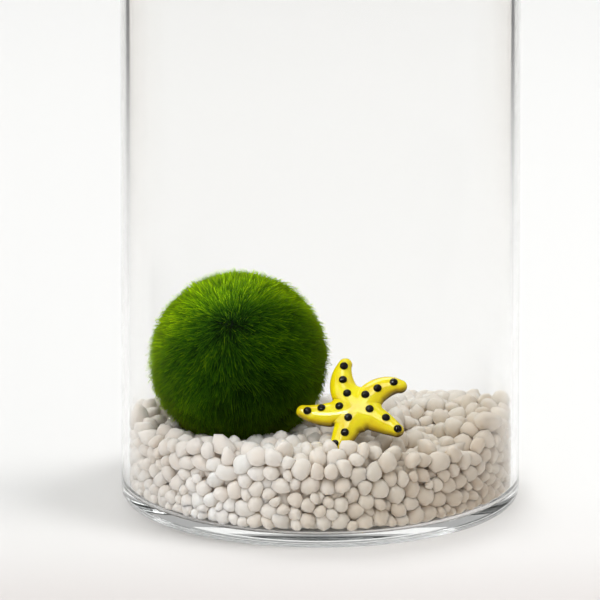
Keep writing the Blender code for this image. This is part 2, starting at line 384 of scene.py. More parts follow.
def arm_side(hub, middle, tip, notch, side):
    """One side of an arm from the notch to where its round tip starts: shares, ridge and outline.

    The ridge is a quadratic curve from the hub through the arm's middle to its tip. The outline is
    that curve pushed sideways by the half width, and up to the neck a Hermite curve from the notch.
    """
    control = 2 * middle - (hub + tip) / 2

    def ridge(t):
        return (1 - t) ** 2 * hub + 2 * t * (1 - t) * control + t * t * tip

    def along(t):
        return unit((1 - t) * (control - hub) + t * (tip - control))

    def across(t):
        return side * np.stack([-along(t)[..., 1], along(t)[..., 0]], axis=-1)

    def outer(t):
        return ridge(t) + across(t) * mix(ARM_HALF_WIDTH, t * t)

    neck = outer(ARM_NECK)
    reach = np.linalg.norm(neck - notch)
    to_notch = unit(notch - hub)
    leave = np.array((to_notch[1], -to_notch[0])) * -side * reach * NOTCH_ROUNDING
    arrive = along(ARM_NECK) * reach
    last = 1 - ARM_HALF_WIDTH[1] / np.linalg.norm(tip - hub)
    t = np.linspace(0, last, SIDE_STEPS + 1)[:, None]
    s = np.minimum(t / ARM_NECK, 1)
    root = (1 + 2 * s) * (1 - s) ** 2 * notch + s * (1 - s) ** 2 * leave
    root = root + s * s * (3 - 2 * s) * neck - s * s * (1 - s) * arrive
    return t, ridge(t), np.where(t < ARM_NECK, root, outer(t)), along(last), across(last)


def star_columns():
    """The starfish's plan, anticlockwise, as rows of share along the arm, ridge point and outline point."""
    hub = np.array(STAR_HUB)
    valleys = np.array(STAR_VALLEYS)
    columns = []
    for i, (middle, tip) in enumerate(np.array(STAR_ARMS)):
        t, ridge, right, ahead, outward = arm_side(hub, middle, tip, valleys[i], -1)
        _, _, left, _, _ = arm_side(hub, middle, tip, valleys[(i + 1) % len(valleys)], 1)
        a = np.linspace(0, math.pi, TIP_STEPS + 1)[:, None]
        radius = np.linalg.norm(right[-1] - ridge[-1])
        round_tip = ridge[-1] + (outward * np.cos(a) + ahead * np.sin(a)) * radius
        last = np.repeat(ridge[-1:], TIP_STEPS + 1, axis=0)
        shares = np.concatenate([t[:-1], np.full((TIP_STEPS + 1, 1), t[-1, 0]), t[-2:0:-1]])
        ridges = np.concatenate([ridge[:-1], last, ridge[-2:0:-1]])
        edges = np.concatenate([right[:-1], round_tip, left[-2:0:-1]])
        columns.append(np.concatenate([shares, ridges, edges], axis=1))
    return np.concatenate(columns)


def star_surface():
    """Elliptical sections: ridge + (outline - ridge) sin a, and the height times cos a, front and back."""
    columns = star_columns()
    share, ridge, edge = columns[:, 0:1], columns[:, None, 1:3], columns[:, None, 3:5]
    quarter = math.pi / 2
    a = np.concatenate([
        np.linspace(0, quarter, FRONT_STEPS + 1),
        np.linspace(quarter, 2 * quarter, BACK_STEPS + 1)[1:],
    ])[None, :]
    plan = ridge + (edge - ridge) * np.sin(a)[..., None]
    rise = np.cos(a) * np.where(a <= quarter, mix(ARM_FRONT, share), mix(ARM_BACK, share))
    return np.concatenate([plan, rise[..., None]], axis=-1)


def vector_node(tree, operation, *values):
    """A Vector Math node of one or two values, each a socket or a vector."""
    node = tree.nodes.new("ShaderNodeVectorMath")
    node.operation = operation
    for socket, value in zip(node.inputs, values):
        feed(tree, socket, value)
    return node.outputs["Value" if operation in ("DOT_PRODUCT", "LENGTH", "DISTANCE") else "Vector"]


def noise(tree, scale, detail):
    """Soft noise over the piece's own coordinates, this many waves to the metre."""
    node = tree.nodes.new("ShaderNodeTexNoise")
    feed(tree, node.inputs["Scale"], scale)
    feed(tree, node.inputs["Detail"], detail)
    tree.links.new(own_place(tree), node.inputs["Vector"])
    return node.outputs["Fac"]


def new_group(name, numbers, colours, output, kind):
    """A node group with these named inputs and one output: returns it and both sides' sockets."""
    group = bpy.data.node_groups.new(name, "ShaderNodeTree")
    for label in numbers:
        group.interface.new_socket(label, in_out="INPUT", socket_type="NodeSocketFloat")
    for label in colours:
        group.interface.new_socket(label, in_out="INPUT", socket_type="NodeSocketColor")
    group.interface.new_socket(output, in_out="OUTPUT", socket_type=kind)
    return group, group.nodes.new("NodeGroupInput").outputs, group.nodes.new("NodeGroupOutput").inputs


def cloudy_colour_group():
    """Clouds of noise between a dark and a light colour, which are full at Low and at High."""
    numbers = ("Scale", "Detail", "Low", "High")
    group, given, result = new_group(
        "cloudy colour", numbers, ("Dark", "Light"), "Color", "NodeSocketColor"
    )
    share = spread(group, noise(group, given["Scale"], given["Detail"]), (given["Low"], given["High"]))
    group.links.new(blended(group, share, given["Dark"], given["Light"]), result["Color"])
    return group


def fine_grain_group():
    """Noise raised over the surface as a bump of this strength and height."""
    numbers = ("Scale", "Detail", "Strength", "Distance")
    group, given, result = new_group("fine grain", numbers, (), "Normal", "NodeSocketVector")
    bump = group.nodes.new("ShaderNodeBump")
    group.links.new(noise(group, given["Scale"], given["Detail"]), bump.inputs["Height"])
    group.links.new(given["Strength"], bump.inputs["Strength"])
    group.links.new(given["Distance"], bump.inputs["Distance"])
    group.links.new(bump.outputs["Normal"], result["Normal"])
    return group


def place_group(tree, group, values):
    """Puts a group into a material with its own values, and returns the group's output."""
    node = tree.nodes.new("ShaderNodeGroup")
    node.node_tree = group
    for name, value in values.items():
        node.inputs[name].default_value = value
    return node.outputs[0]


def yellow_glaze():
    """Lemon yellow glaze under a clear glossy coat, with painted shade that makes the undersides browner
    and darker.
    """
    material, tree, shader = new_material("yellow glaze", 0.3)
    facing = tree.nodes.new("ShaderNodeNewGeometry").outputs["Normal"]
    # painted shade on the faces that turn downwards
    downward = vector_node(tree, "DOT_PRODUCT", facing, GLAZE_SHADED_WAY)
    glaze_painted_shade = ramp(tree, GLAZE_PAINTED_SHADE, spread(tree, downward, GLAZE_SHADE_SLOPES))
    colour = blended(tree, 1.0, place_group(tree, cloudy_colour, GLAZE_CLOUDS), glaze_painted_shade, "MULTIPLY")
    tree.links.new(colour, shader.inputs["Base Color"])
    tree.links.new(place_group(tree, fine_grain, GLAZE_RIPPLES), shader.inputs["Normal"])
    shader.inputs["Specular IOR Level"].default_value = 0.0
    shader.inputs["Coat Weight"].default_value = 1.0
    shader.inputs["Coat Roughness"].default_value = 0.03
    shader.inputs["Coat IOR"].default_value = 1.5
    return material


cloudy_colour = cloudy_colour_group()
fine_grain = fine_grain_group()
plan = star_surface()
star_points = plan.reshape(-1, 3) @ star_matrix() * MM + STAR_CENTRE
star = new_piece(
    "starfish_glazed", star_points, grid_faces(*plan.shape[:2], wrap_rows=True),
    yellow_glaze(), ["starfish"], merge=STAR_JOIN,
)

# Starfish dots
# Fifteen drops of thick black glaze, three along each arm, which stand up as small shiny domes.
DOT_RADIUS = 1.04 * MM
DOT_HEIGHT = 0.8 * MM
DOT_SINK = 0.03 * MM  # its flat underside lies this far in the yellow glaze
DOT_FOOT = 0.94  # and is this share of the drop's radius
DOT_STEPS = 10
DOT_SEGMENTS = 32
DOT_REACH = 10  # mm out of the starfish's plane, from where each dot's place is looked for
BLACK_CLOUDS = {
    "Scale": 900, "Detail": 2, "Low": 0, "High": 1,
    "Dark": (0.0015, 0.001, 0.001, 1), "Light": (0.005, 0.003, 0.0025, 1),
}
STAR_DOTS = (  # places in the starfish's plane in mm, three from the hub out along each arm
    (-2.1, 1.75), (-3.65, 5.6), (-3.9, 9.6),
    (-3.65, -1.9), (-8.15, -2.4), (-11.6, -3.3),
    (-1.05, -4.9), (-1.5, -8.9), (-3.7, -12.0),
    (4.0, -2.25), (8.25, -4.2), (11.5, -7.0),
    (2.5, 1.6), (5.3, 3.65), (9.05, 5.75),
)


def dot_section():
    """Half a drop's section: a quarter of an ellipse from its top to its edge, then its flat underside."""
    a = np.linspace(0, math.pi / 2, DOT_STEPS + 1)
    dome = np.stack([DOT_RADIUS * np.sin(a), DOT_HEIGHT * np.cos(a)], axis=1)
    return np.concatenate([dome, [(DOT_RADIUS * DOT_FOOT, -DOT_SINK), (0, -DOT_SINK)]])


def black_glaze():
    """Black glaze, almost a mirror, with a trace of brown."""
    material, tree, shader = new_material("black glaze", 0.04)
    tree.links.new(place_group(tree, cloudy_colour, BLACK_CLOUDS), shader.inputs["Base Color"])
    shader.inputs["Specular IOR Level"].default_value = 0.2
    return material


drop_glaze = black_glaze()
drop = turned(dot_section(), DOT_SEGMENTS)
drop_faces = grid_faces(*drop.shape[:2], wrap_columns=True)
star_skin = BVHTree.FromPolygons(
    [v.co.copy() for v in star.data.vertices], [tuple(p.vertices) for p in star.data.polygons]
)
star_right, star_up, star_out = star_matrix()
for number, (u, w) in enumerate(STAR_DOTS, start=1):
    start = STAR_CENTRE + (star_right * u + star_up * w + star_out * DOT_REACH) * MM
    place, normal, _, _ = star_skin.ray_cast(Vector(start), Vector(-star_out))
    turn = np.array(normal.to_track_quat("Z", "Y").to_matrix())
    node = f"starfish_dot_{number:02d}"
    new_piece(
        f"glaze_drop_{number:02d}", drop.reshape(-1, 3) @ turn.T + np.array(place), drop_faces,
        drop_glaze, [node], merge=JOIN,
    )

# Moss ball
# A living ball of fine green algae filaments, combed by the water from a whorl on its front. They
# stand at many heights over a dense heart, dark by painted shade, so only the tips catch the light.
BALL_CENTRE = np.array((-20.4, -8.0, 37.6)) * MM
BALL_RADIUS = 22.35 * MM
HEART_RADIUS = 19.2 * MM
HEART_TUFTS = 0.25 * MM  # how far the heart's radius wanders
HEART_RATE = 14
HEART_GRID = (49, 96)  # its rows and columns
CLUMPS = 46500
CLUMP_FILAMENTS = 4
CLUMP_SPREAD = 0.3 * MM
CLUMP_STRAY = 0.008  # how far the clumps stand off their even places, as a share of the radius
CLUMP_GATHERS = 0.6  # share of its spread that a clump keeps at the tips
FILAMENT_PIECES = 4
TIP_HEIGHTS = (20.1 * MM, 22.1 * MM)  # from the ball's centre, of the lowest and of the high tips
LONG_TIPS = 2.0  # the larger, the fewer filaments reach the ball's outline
STRAY_TIPS = 0.55 * MM  # how far the strays stand out on average, and never over three times that
CLUMP_HEIGHT_SHARE = 0.4  # how far the filaments of a clump end at one height
FILAMENT_RISE = (1.8 * MM, 3.2 * MM)  # of its tip over its root
FILAMENT_LEAN = (3.4 * MM, 6.2 * MM)  # how far its tip lies along the ball from its root
MOST_LEAN = 1.15  # the strongest that the comb lays a clump, as a share of that
LEAN_SHARES = (0.15, 1.15)  # of its clump's lean, for the filament that stands most and lies most
FILAMENT_STRAY = 0.16  # how far each filament's way strays from its clump's
ROOT_WIDTH = 0.22 * MM
TIP_WIDTH = 0.09 * MM
THICKNESS = (0.7, 1.2)  # of a filament, as a share of both widths
OWN_TONE = 0.55  # share of a filament's tone that is its own, and the rest is its clump's
WHORL = unit(np.array((-0.16, -0.75, 0.64)))
WHORL_REACH = 0.1  # sine of the angle from the whorl at which the filaments lie down
WANDER = 0.6  # how far the tufts stray from that comb
WANDER_RATES = (5, 12)  # of the wide and of the narrow tufts
WANDER_PHASES = (0.0, 2.1, 4.4)
COMB_STRAY = 0.14  # and how far each clump does
DROOP = np.array((0, 0, -0.22))  # all lie a little downwards
BALL_NORMAL_SHARE = 2.5  # how much the filaments take the light as the whole ball does
MOSS_SHADE_HEIGHTS = (20.3 * MM, 22.8 * MM)  # heights over which painted shade and glow turn the filaments from dark to light
MOSS_DEPTH_SHADE_AND_GLOW = (  # colour from deep between the filaments to the ball's outline: green, with painted shade deep down and a painted glow at the outline
    (0.0, (0.012, 0.06, 0.001, 1)),
    (0.35, (0.047, 0.18, 0.0015, 1)),
    (0.65, (0.14, 0.38, 0.003, 1)),
    (1.0, (0.42, 0.74, 0.006, 1)),
)
MOSS_TONES = (  # the darkest and lightest filament, as a share of that colour
    (0.1, (0.78, 0.8, 0.78, 1)),
    (0.9, (1.1, 1.08, 1.0, 1)),
)
MOSS_SHADED_SIDE = (0.24, -0.89, -0.385)  # painted shade: the ball is a deeper green on this side of it, away from the light
MOSS_PAINTED_LIGHT_AND_SHADE = (  # share of the colour by the cosine from that side: painted light at the rims and top, painted shade towards that side
    (0.0, (2.6, 1.95, 1.2, 1)),
    (0.12, (1.6, 1.4, 1.0, 1)),
    (0.27, (0.85, 0.93, 0.9, 1)),
    (0.45, (0.68, 0.8, 0.8, 1)),
    (0.6, (0.78, 0.86, 0.82, 1)),
    (0.75, (0.6, 0.75, 0.75, 1)),
    (0.95, (0.3, 0.4, 0.5, 1)),
)
MOSS_TRANSLUCENCE = 0.4
MOSS_SHEEN = (0.8, 1.0, 0.015, 1)
# the heart's near-black green is painted shade of the depths
HEART_CLOUDS = {
    "Scale": 900, "Detail": 2, "Low": 0, "High": 1,
    "Dark": (0.005, 0.02, 0.0008, 1), "Light": (0.012, 0.045, 0.002, 1),
}
MOSS_SEED = 11

random = np.random.default_rng(MOSS_SEED)


def even_directions(count):
    """Directions spread evenly over the sphere: equal steps of height and the golden angle round."""
    k = np.arange(count)
    z = 1 - (2 * k + 1) / count
    a = k * math.pi * (3 - math.sqrt(5))
    r = np.sqrt(1 - z * z)
    return np.stack([r * np.cos(a), r * np.sin(a), z], axis=1)


def wavy(directions, rate, phase):
    """A smooth wandering value in -1..1 for each direction: products of sines along three axes."""
    x, y, z = (directions * rate).T
    first = np.sin(x + 1.7 * np.sin(y + phase)) * np.cos(1.3 * y - z)
    second = np.sin(z * 1.4 + 1.3 * np.sin(x - phase))
    return (first + second) / 2


def comb(directions):
    """The way the filaments lie: away from the whorl along the ball, drooping, and wandering in tufts."""
    wide, narrow = WANDER_RATES
    away = directions * (directions @ WHORL)[:, None] - WHORL
    wander = [wavy(directions, wide, phase) + wavy(directions, narrow, phase) for phase in WANDER_PHASES]
    stray = random.normal(0, COMB_STRAY, directions.shape)
    flow = unit(away + 1e-6) * np.minimum(np.linalg.norm(away, axis=1, keepdims=True) / WHORL_REACH, 1)
    flow = flow + DROOP + np.stack(wander, axis=1) * WANDER + stray
    return flow - directions * np.sum(flow * directions, axis=1, keepdims=True)


def filaments():
    """Thin closed wedges: two root points and, turned square to them, two points at the tip.

    Filaments grow in clumps that draw together towards their tips. A tip is
    centre + height * unit(root direction + flow * lean / radius), and its root lies lower by the rise.
    """
    clump = unit(even_directions(CLUMPS) + random.normal(0, CLUMP_STRAY, (CLUMPS, 3)))
    flow = comb(clump)
    strength = np.minimum(np.linalg.norm(flow, axis=1), MOST_LEAN)
    lean = strength * random.uniform(*FILAMENT_LEAN, CLUMPS)
    count = CLUMPS * CLUMP_FILAMENTS
    own = np.repeat(np.arange(CLUMPS), CLUMP_FILAMENTS)
    height = mix((random.random(count), random.random(CLUMPS)[own]), CLUMP_HEIGHT_SHARE)
    tip_height = mix(TIP_HEIGHTS, height**LONG_TIPS)
    tip_height += np.minimum(random.exponential(STRAY_TIPS, count), 3 * STRAY_TIPS)
    flow = unit(flow[own] + random.normal(0, FILAMENT_STRAY, (count, 3)))
    turn = lean[own] * random.uniform(*LEAN_SHARES, count) / BALL_RADIUS
    offset = random.normal(0, CLUMP_SPREAD / HEART_RADIUS, (count, 3))
    root = unit(clump[own] + offset)
    tip = unit(clump[own] + offset * CLUMP_GATHERS + flow * np.tan(turn)[:, None])
    tip = tip * tip_height[:, None]
    root = root * (tip_height - random.uniform(*FILAMENT_RISE, count))[:, None]
    along = unit(tip - root)
    first = unit(np.cross(along, random.normal(0, 1, (count, 3))))
    second = np.cross(along, first)
    thick = random.uniform(*THICKNESS, (count, 1)) / 2
    wide, narrow = first * thick * ROOT_WIDTH, second * thick * TIP_WIDTH
    points = np.stack([root - wide, root + wide, tip - narrow, tip + narrow], axis=1) + BALL_CENTRE
    return points, mix((random.random(CLUMPS)[own], random.random(count)), OWN_TONE)


def filament_faces(count):
    """The four sides of each filament."""
    one = np.array([(0, 1, 2), (0, 3, 1), (0, 2, 3), (1, 3, 2)])
    return (one[None] + 4 * np.arange(count)[:, None, None]).reshape(-1, 3)


def point_value(piece, name, values):
    """Keeps one number for each point of a mesh, for its material."""
    store = piece.data.attributes.new(name, "FLOAT", "POINT")
    store.data.foreach_set("value", np.asarray(values, np.float32).ravel())


def attribute(tree, name):
    """The number that a piece keeps for each of its points."""
    node = tree.nodes.new("ShaderNodeAttribute")
    node.attribute_name = name
    return node.outputs["Fac"]


def let_light_through(tree, shader, colour, share):
    """Gives a material's surface this share of light that comes through from behind."""
    through = tree.nodes.new("ShaderNodeBsdfTranslucent")
    tree.links.new(colour, through.inputs["Color"])
    surface = blended_shader(tree, share, shader.outputs[0], through.outputs[0])
    tree.links.new(surface, tree.nodes["Material Output"].inputs["Surface"])


def moss_filament():
    """Green filaments that let light through, with painted shade and light: dark deep down and on one side,
    yellow-green at the ball's outline and top.
    """
    material, tree, shader = new_material("moss filament", 0.6)
    outward = vector_node(tree, "SUBTRACT", own_place(tree), BALL_CENTRE)
    height = spread(tree, vector_node(tree, "LENGTH", outward), MOSS_SHADE_HEIGHTS)
    facing = vector_node(tree, "NORMALIZE", outward)
    moss_shade_cosine = vector_node(tree, "DOT_PRODUCT", facing, MOSS_SHADED_SIDE)
    # painted shade deep between the filaments, painted glow at the ball's outline
    colour = ramp(tree, MOSS_DEPTH_SHADE_AND_GLOW, height)
    # the filament's own tone, then painted light at the rims and top and painted shade on one side
    for stops, share in ((MOSS_TONES, attribute(tree, "tone")), (MOSS_PAINTED_LIGHT_AND_SHADE, moss_shade_cosine)):
        colour = blended(tree, 1.0, colour, ramp(tree, stops, share), "MULTIPLY")
    as_ball = vector_node(tree, "MULTIPLY", facing, (BALL_NORMAL_SHARE,) * 3)
    own = tree.nodes.new("ShaderNodeNewGeometry").outputs["Normal"]
    normal = vector_node(tree, "NORMALIZE", vector_node(tree, "ADD", as_ball, own))
    tree.links.new(normal, shader.inputs["Normal"])
    tree.links.new(colour, shader.inputs["Base Color"])
    shader.inputs["Specular IOR Level"].default_value = 0.05
    shader.inputs["Sheen Weight"].default_value = 1.0
    shader.inputs["Sheen Roughness"].default_value = 0.4
    shader.inputs["Sheen Tint"].default_value = MOSS_SHEEN
    let_light_through(tree, shader, colour, MOSS_TRANSLUCENCE)
    return material


def moss_heart():
    """The felted heart of the ball, nearly black green: painted shade of the depths under the filaments."""
    material, tree, shader = new_material("moss heart", 0.9)
    tree.links.new(place_group(tree, cloudy_colour, HEART_CLOUDS), shader.inputs["Base Color"])
    return material


def ball_surface(radius, rows, columns):
    """A sphere on a grid of heights and turns, its radius wandering a little like tufts."""
    a = np.linspace(0, math.pi, rows)[:, None]
    b = np.linspace(0, math.tau, columns, endpoint=False)[None, :]
    directions = np.stack([np.sin(a) * np.cos(b), np.sin(a) * np.sin(b), np.cos(a) + 0 * b], axis=-1)
    flat = directions.reshape(-1, 3)
    return BALL_CENTRE + flat * (radius + HEART_TUFTS * wavy(flat, HEART_RATE, 1.0)[:, None])


new_piece(
    "moss_ball_heart", ball_surface(HEART_RADIUS, *HEART_GRID), grid_faces(*HEART_GRID, wrap_columns=True),
    moss_heart(), ["moss_ball"], merge=JOIN,
)
filament_material = moss_filament()
filament_points, tones = filaments()
for part in range(FILAMENT_PIECES):
    chosen = slice(part, None, FILAMENT_PIECES)
    count = len(filament_points[chosen])
    tuft = new_piece(
        f"moss_filaments_{part + 1}", filament_points[chosen], filament_faces(count),
        filament_material, ["moss_ball"],
    )
    point_value(tuft, "tone", np.repeat(tones[chosen], filament_points.shape[1]))

# Gravel
# A bed of loose white stones of 3 to 5 mm, tumbled smooth. It is poured in and left level at the
# front, falls away to the back of the jar, and carries the moss ball in a shallow dish.
BED_BOTTOM = JAR_BASE + 0.2 * MM
BED_LEVEL = 24.4 * MM
BED_FRONT_RISE = 1.4 * MM
BED_BACK_DROP = 13.0 * MM
FRONT_WAVE = 1.0 * MM  # the front rises and falls by this
WAVE_LENGTH = 90 * MM
WAVE_CREST = -20 * MM
HEAP_PLACE = np.array((25.8, 40.0)) * MM  # a low heap at the back
HEAP_RISE = 1.2 * MM
HEAP_SPREAD = 9.0 * MM
FOOT_PLACE = np.array((8.5, -43.5)) * MM  # a little more gravel at the starfish's lowest arm
FOOT_RISE = 3.2 * MM
FOOT_SPREAD = 4.5 * MM
SIDE_START = 26 * MM  # right of here the bed rises to the glass
SIDE_RISE = 2.6 * MM
DISH_DEPTH = 3.0 * MM
DISH_RADIUS = 18.0 * MM  # the bed dips most in a ring this far out from under the ball's middle
DISH_SPREAD = 7.0 * MM
PEBBLE_RADIUS = (1.1 * MM, 1.8 * MM, 2.3 * MM)  # smallest, usual and largest
PEBBLE_SPREAD = 0.38 * MM
MOST_PEBBLES = 9000  # more than ever fill the bed
BED_GRID = 240
PACKED_SHARE = 0.65  # of the bed's volume that the settled balls fill
SETTLE_ROUNDS = 420
NEW_PAIRS_EVERY = 12
PAIR_REACH = 1.2 * MM  # balls nearer than this are watched for touching
SINK_STEP = 0.09 * MM
SLOPE_STEP = 0.05 * MM
STAR_SHARE = 4  # one ball stands for every fourth place round the starfish
BALL_SINKS = 0.7 * MM  # how far the moss ball takes in the stones that carry it
LID_RISE = 0.5 * MM  # a ball's centre stays at most this far over the bed's surface
LID_SINK = 0.7  # less this share of its radius
WALL_CLEARANCE = 0.08 * MM
SEEN_DEPTH = 7.5 * MM  # deeper than this under the bed's surface and in from the glass no stone is kept
SEEN_FROM_BELOW = 4.0 * MM  # nor higher than this over the jar's floor
CORE_DEPTH = 4.8 * MM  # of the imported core, under the bed's surface and in from the glass
CORE_ABOVE_FLOOR = 3.0 * MM
CORE_RINGS = (16, 3, 8)  # over its top, down its side and underneath
CORE_COLUMNS = 96
PEBBLE_FORMS = 24
PEBBLE_CUTS = 3  # along each edge of the cube that a stone is blown up from
STONE_FLATS = 13
FLAT_STRAY = 0.22  # how far the flats stand off their even places
FLAT_DISTANCE = (0.88, 1.06)  # from the stone's middle, as a share of its radius
STONE_EDGES = 6  # the larger, the sharper the edges between a stone's flats
STONE_SCALE = 1.15  # the stones are a little larger than the balls that they settled as
STONE_STRETCH = ((1.0, 1.26), (0.94, 1.06), (0.8, 0.96))  # of its long, middle and short way
STONE_PITS = {"Scale": 1600, "Detail": 4, "Strength": 0.25, "Distance": 0.12 * MM}
STONE_TRANSLUCENCE = 0.1
STONE_SCATTERS = (1.0, 0.97, 0.93)
STONE_SCATTER_DEPTH = 1.2 * MM
STONE_TONES = (
    (0.0, (0.865, 0.79, 0.7, 1)),
    (1.0, (0.925, 0.875, 0.805, 1)),
)
STONE_SHADED_SIDE = (0.8, -0.35, -0.5)  # painted shade: towards this side of the jar the bed is a darker, deeper cream
STONE_SHADE_REACH = (-45 * MM, 50 * MM)  # from here to here that way, measured from the jar's foot
STONE_PAINTED_LIGHT_AND_SHADE = (  # share of the colour over that reach: painted light near a third of the way, painted shade at both ends, deepest at the far end
    (0.0, (0.86, 0.855, 0.855, 1)),
    (0.17, (0.9, 0.907, 0.923, 1)),
    (0.32, (1.04, 1.07, 1.12, 1)),
    (0.68, (0.87, 0.855, 0.815, 1)),
    (0.8, (0.82, 0.776, 0.718, 1)),
    (0.88, (0.67, 0.605, 0.525, 1)),
    (1.0, (0.6, 0.53, 0.45, 1)),
)
PEBBLE_PIECES = 2
GRAVEL_SEED = 5

random = np.random.default_rng(GRAVEL_SEED)


def bed_height(x, y):
    """The gravel's surface: a front plateau, a rake to the back, two heaps and a dish at the moss ball."""
    front = np.clip(-y / JAR_INSIDE, 0, 1)
    back = np.clip(y / JAR_INSIDE, 0, 1)
    height = BED_LEVEL + BED_FRONT_RISE * front**2 - BED_BACK_DROP * back
    height = height + FRONT_WAVE * front * np.cos(math.tau * (x - WAVE_CREST) / WAVE_LENGTH)
    for place, rise, reach in (
        (HEAP_PLACE, HEAP_RISE, HEAP_SPREAD),
        (FOOT_PLACE, FOOT_RISE, FOOT_SPREAD),
    ):
        away = np.hypot(x - place[0], y - place[1])
        height = height + rise * np.exp(-((away / reach) ** 2) / 2)
    height = height + SIDE_RISE * np.clip((x - SIDE_START) / (JAR_INSIDE - SIDE_START), 0, 1)
    from_ball = np.hypot(x - BALL_CENTRE[0], y - BALL_CENTRE[1])
    return height - DISH_DEPTH * np.exp(-(((from_ball - DISH_RADIUS) / DISH_SPREAD) ** 2))


def star_obstacles():
    """Balls that fill the starfish: centres along its ridges, and the arm's half thickness as radius."""
    columns = star_columns()[::STAR_SHARE]
    share = columns[:, 0:1]
    lift = (mix(ARM_FRONT, share) - mix(ARM_BACK, share)) / 2
    centres = np.concatenate([columns[:, 1:3], lift], axis=1) @ star_matrix() * MM + STAR_CENTRE
    return centres, (mix(ARM_FRONT, share) + mix(ARM_BACK, share))[:, 0] / 2 * MM


def pebble_radii():
    """Random radii for as many pebbles as fill the bed, at the share that loose gravel fills."""
    grid = np.linspace(-JAR_INSIDE, JAR_INSIDE, BED_GRID)
    x, y = np.meshgrid(grid, grid)
    cell = (grid[1] - grid[0]) ** 2
    inside = np.hypot(x, y) < JAR_INSIDE
    under_ball = np.hypot(x - BALL_CENTRE[0], y - BALL_CENTRE[1])
    ball_low = BALL_CENTRE[2] - np.sqrt(np.maximum(BALL_RADIUS**2 - under_ball**2, 0))
    top = np.where(under_ball < BALL_RADIUS, np.minimum(bed_height(x, y), ball_low), bed_height(x, y))
    volume = np.sum((top - BED_BOTTOM) * inside) * cell
    radii = random.normal(PEBBLE_RADIUS[1], PEBBLE_SPREAD, MOST_PEBBLES)
    radii = np.clip(radii, *PEBBLE_RADIUS[::2])
    filled = np.cumsum(4 / 3 * math.pi * radii**3)
    return radii[: np.searchsorted(filled, PACKED_SHARE * volume)]


def settle(radii):
    """Places balls of these radii in the bed, packed and not overlapping.

    They start at random. In each round, every overlapping pair moves apart along the line between its
    centres, every ball sinks square to the bed's surface, and balls in the glass, the moss ball or
    the starfish move out of it. The list of near pairs is made anew every few rounds.
    """
    count = len(radii)
    a = random.uniform(0, math.tau, count)
    r = (JAR_INSIDE - radii) * np.sqrt(random.random(count))
    place = np.stack([r * np.cos(a), r * np.sin(a), np.zeros(count)], axis=1)
    depth = bed_height(place[:, 0], place[:, 1]) - BED_BOTTOM
    place[:, 2] = BED_BOTTOM + depth * random.random(count)
    obstacle, obstacle_radius = star_obstacles()
    step = SLOPE_STEP
    rows = np.arange(count)
    for turn in range(SETTLE_ROUNDS):
        if turn % NEW_PAIRS_EVERY == 0:
            rough, size = place.astype(np.float32), radii.astype(np.float32)
            square = np.sum(rough * rough, axis=1)
            apart = square[:, None] + square[None, :] - 2 * rough @ rough.T
            near = apart < (size[:, None] + size[None, :] + PAIR_REACH) ** 2
            first, second = np.nonzero(np.triu(near, 1))
        calm = 1 - turn / SETTLE_ROUNDS
        x, y = place[:, 0], place[:, 1]
        slope_x = (bed_height(x + step, y) - bed_height(x - step, y)) / (2 * step)
        slope_y = (bed_height(x, y + step) - bed_height(x, y - step)) / (2 * step)
        sink = unit(np.stack([slope_x, slope_y, -np.ones(count)], axis=1))
        place += sink * SINK_STEP * calm
        gap = place[second] - place[first]
        distance = np.linalg.norm(gap, axis=1)
        overlap = np.maximum(radii[first] + radii[second] - distance, 0)
        push = gap / distance[:, None] * (overlap * 0.5)[:, None]
        for axis in range(3):
            place[:, axis] += np.bincount(second, push[:, axis], count)
            place[:, axis] -= np.bincount(first, push[:, axis], count)
        to_star = place[:, None] - obstacle[None]
        reach = np.linalg.norm(to_star, axis=2)
        overlap = radii[:, None] + obstacle_radius[None] - reach
        worst = np.argmax(overlap, axis=1)
        inside = np.maximum(overlap[rows, worst], 0)[:, None]
        place += to_star[rows, worst] / reach[rows, worst][:, None] * inside
        to_ball = place - BALL_CENTRE
        reach = np.linalg.norm(to_ball, axis=1)
        inside = np.maximum(BALL_RADIUS - BALL_SINKS + radii - reach, 0)
        place += to_ball / reach[:, None] * inside[:, None]
        out = np.hypot(place[:, 0], place[:, 1])
        limit = JAR_INSIDE - WALL_CLEARANCE - radii
        place[:, :2] *= np.minimum(limit / out, 1)[:, None]
        lid = bed_height(place[:, 0], place[:, 1]) + LID_RISE - radii * LID_SINK
        place[:, 2] = np.clip(place[:, 2], BED_BOTTOM + radii, np.maximum(lid, BED_BOTTOM + radii))
    return place


def cube_sphere(cuts):
    """Directions and quads of a cube's six grids, blown up to a sphere, shared points joined."""
    edge = np.tan(np.linspace(-1, 1, cuts + 1) * math.pi / 4)
    u, v = np.meshgrid(edge, edge, indexing="ij")
    sides = []
    for axis in range(3):
        for sign in (-1, 1):
            side = np.stack([np.full_like(u, sign), u * sign, v], axis=-1)
            sides.append(np.roll(side, axis, axis=-1).reshape(-1, 3))
    points, numbers = np.unique(np.round(np.concatenate(sides), 6), axis=0, return_inverse=True)
    faces = grid_faces(cuts + 1, cuts + 1)
    offsets = np.arange(6)[:, None, None] * (cuts + 1) ** 2
    return unit(points), numbers.reshape(-1)[(faces[None] + offsets).reshape(-1, 4)]


def pebble_forms(directions):
    """Radii of a few tumbled stones: each is a random polyhedron whose flats a power sum rounds off."""
    stray = random.normal(0, FLAT_STRAY, (PEBBLE_FORMS, STONE_FLATS, 3))
    normals = unit(even_directions(STONE_FLATS)[None] + stray)
    distance = random.uniform(*FLAT_DISTANCE, (PEBBLE_FORMS, STONE_FLATS))
    cosines = np.einsum("pk,fnk->fpn", directions, normals) / distance[:, None]
    return np.sum(np.maximum(cosines, 0) ** STONE_EDGES, axis=2) ** (-1 / STONE_EDGES)


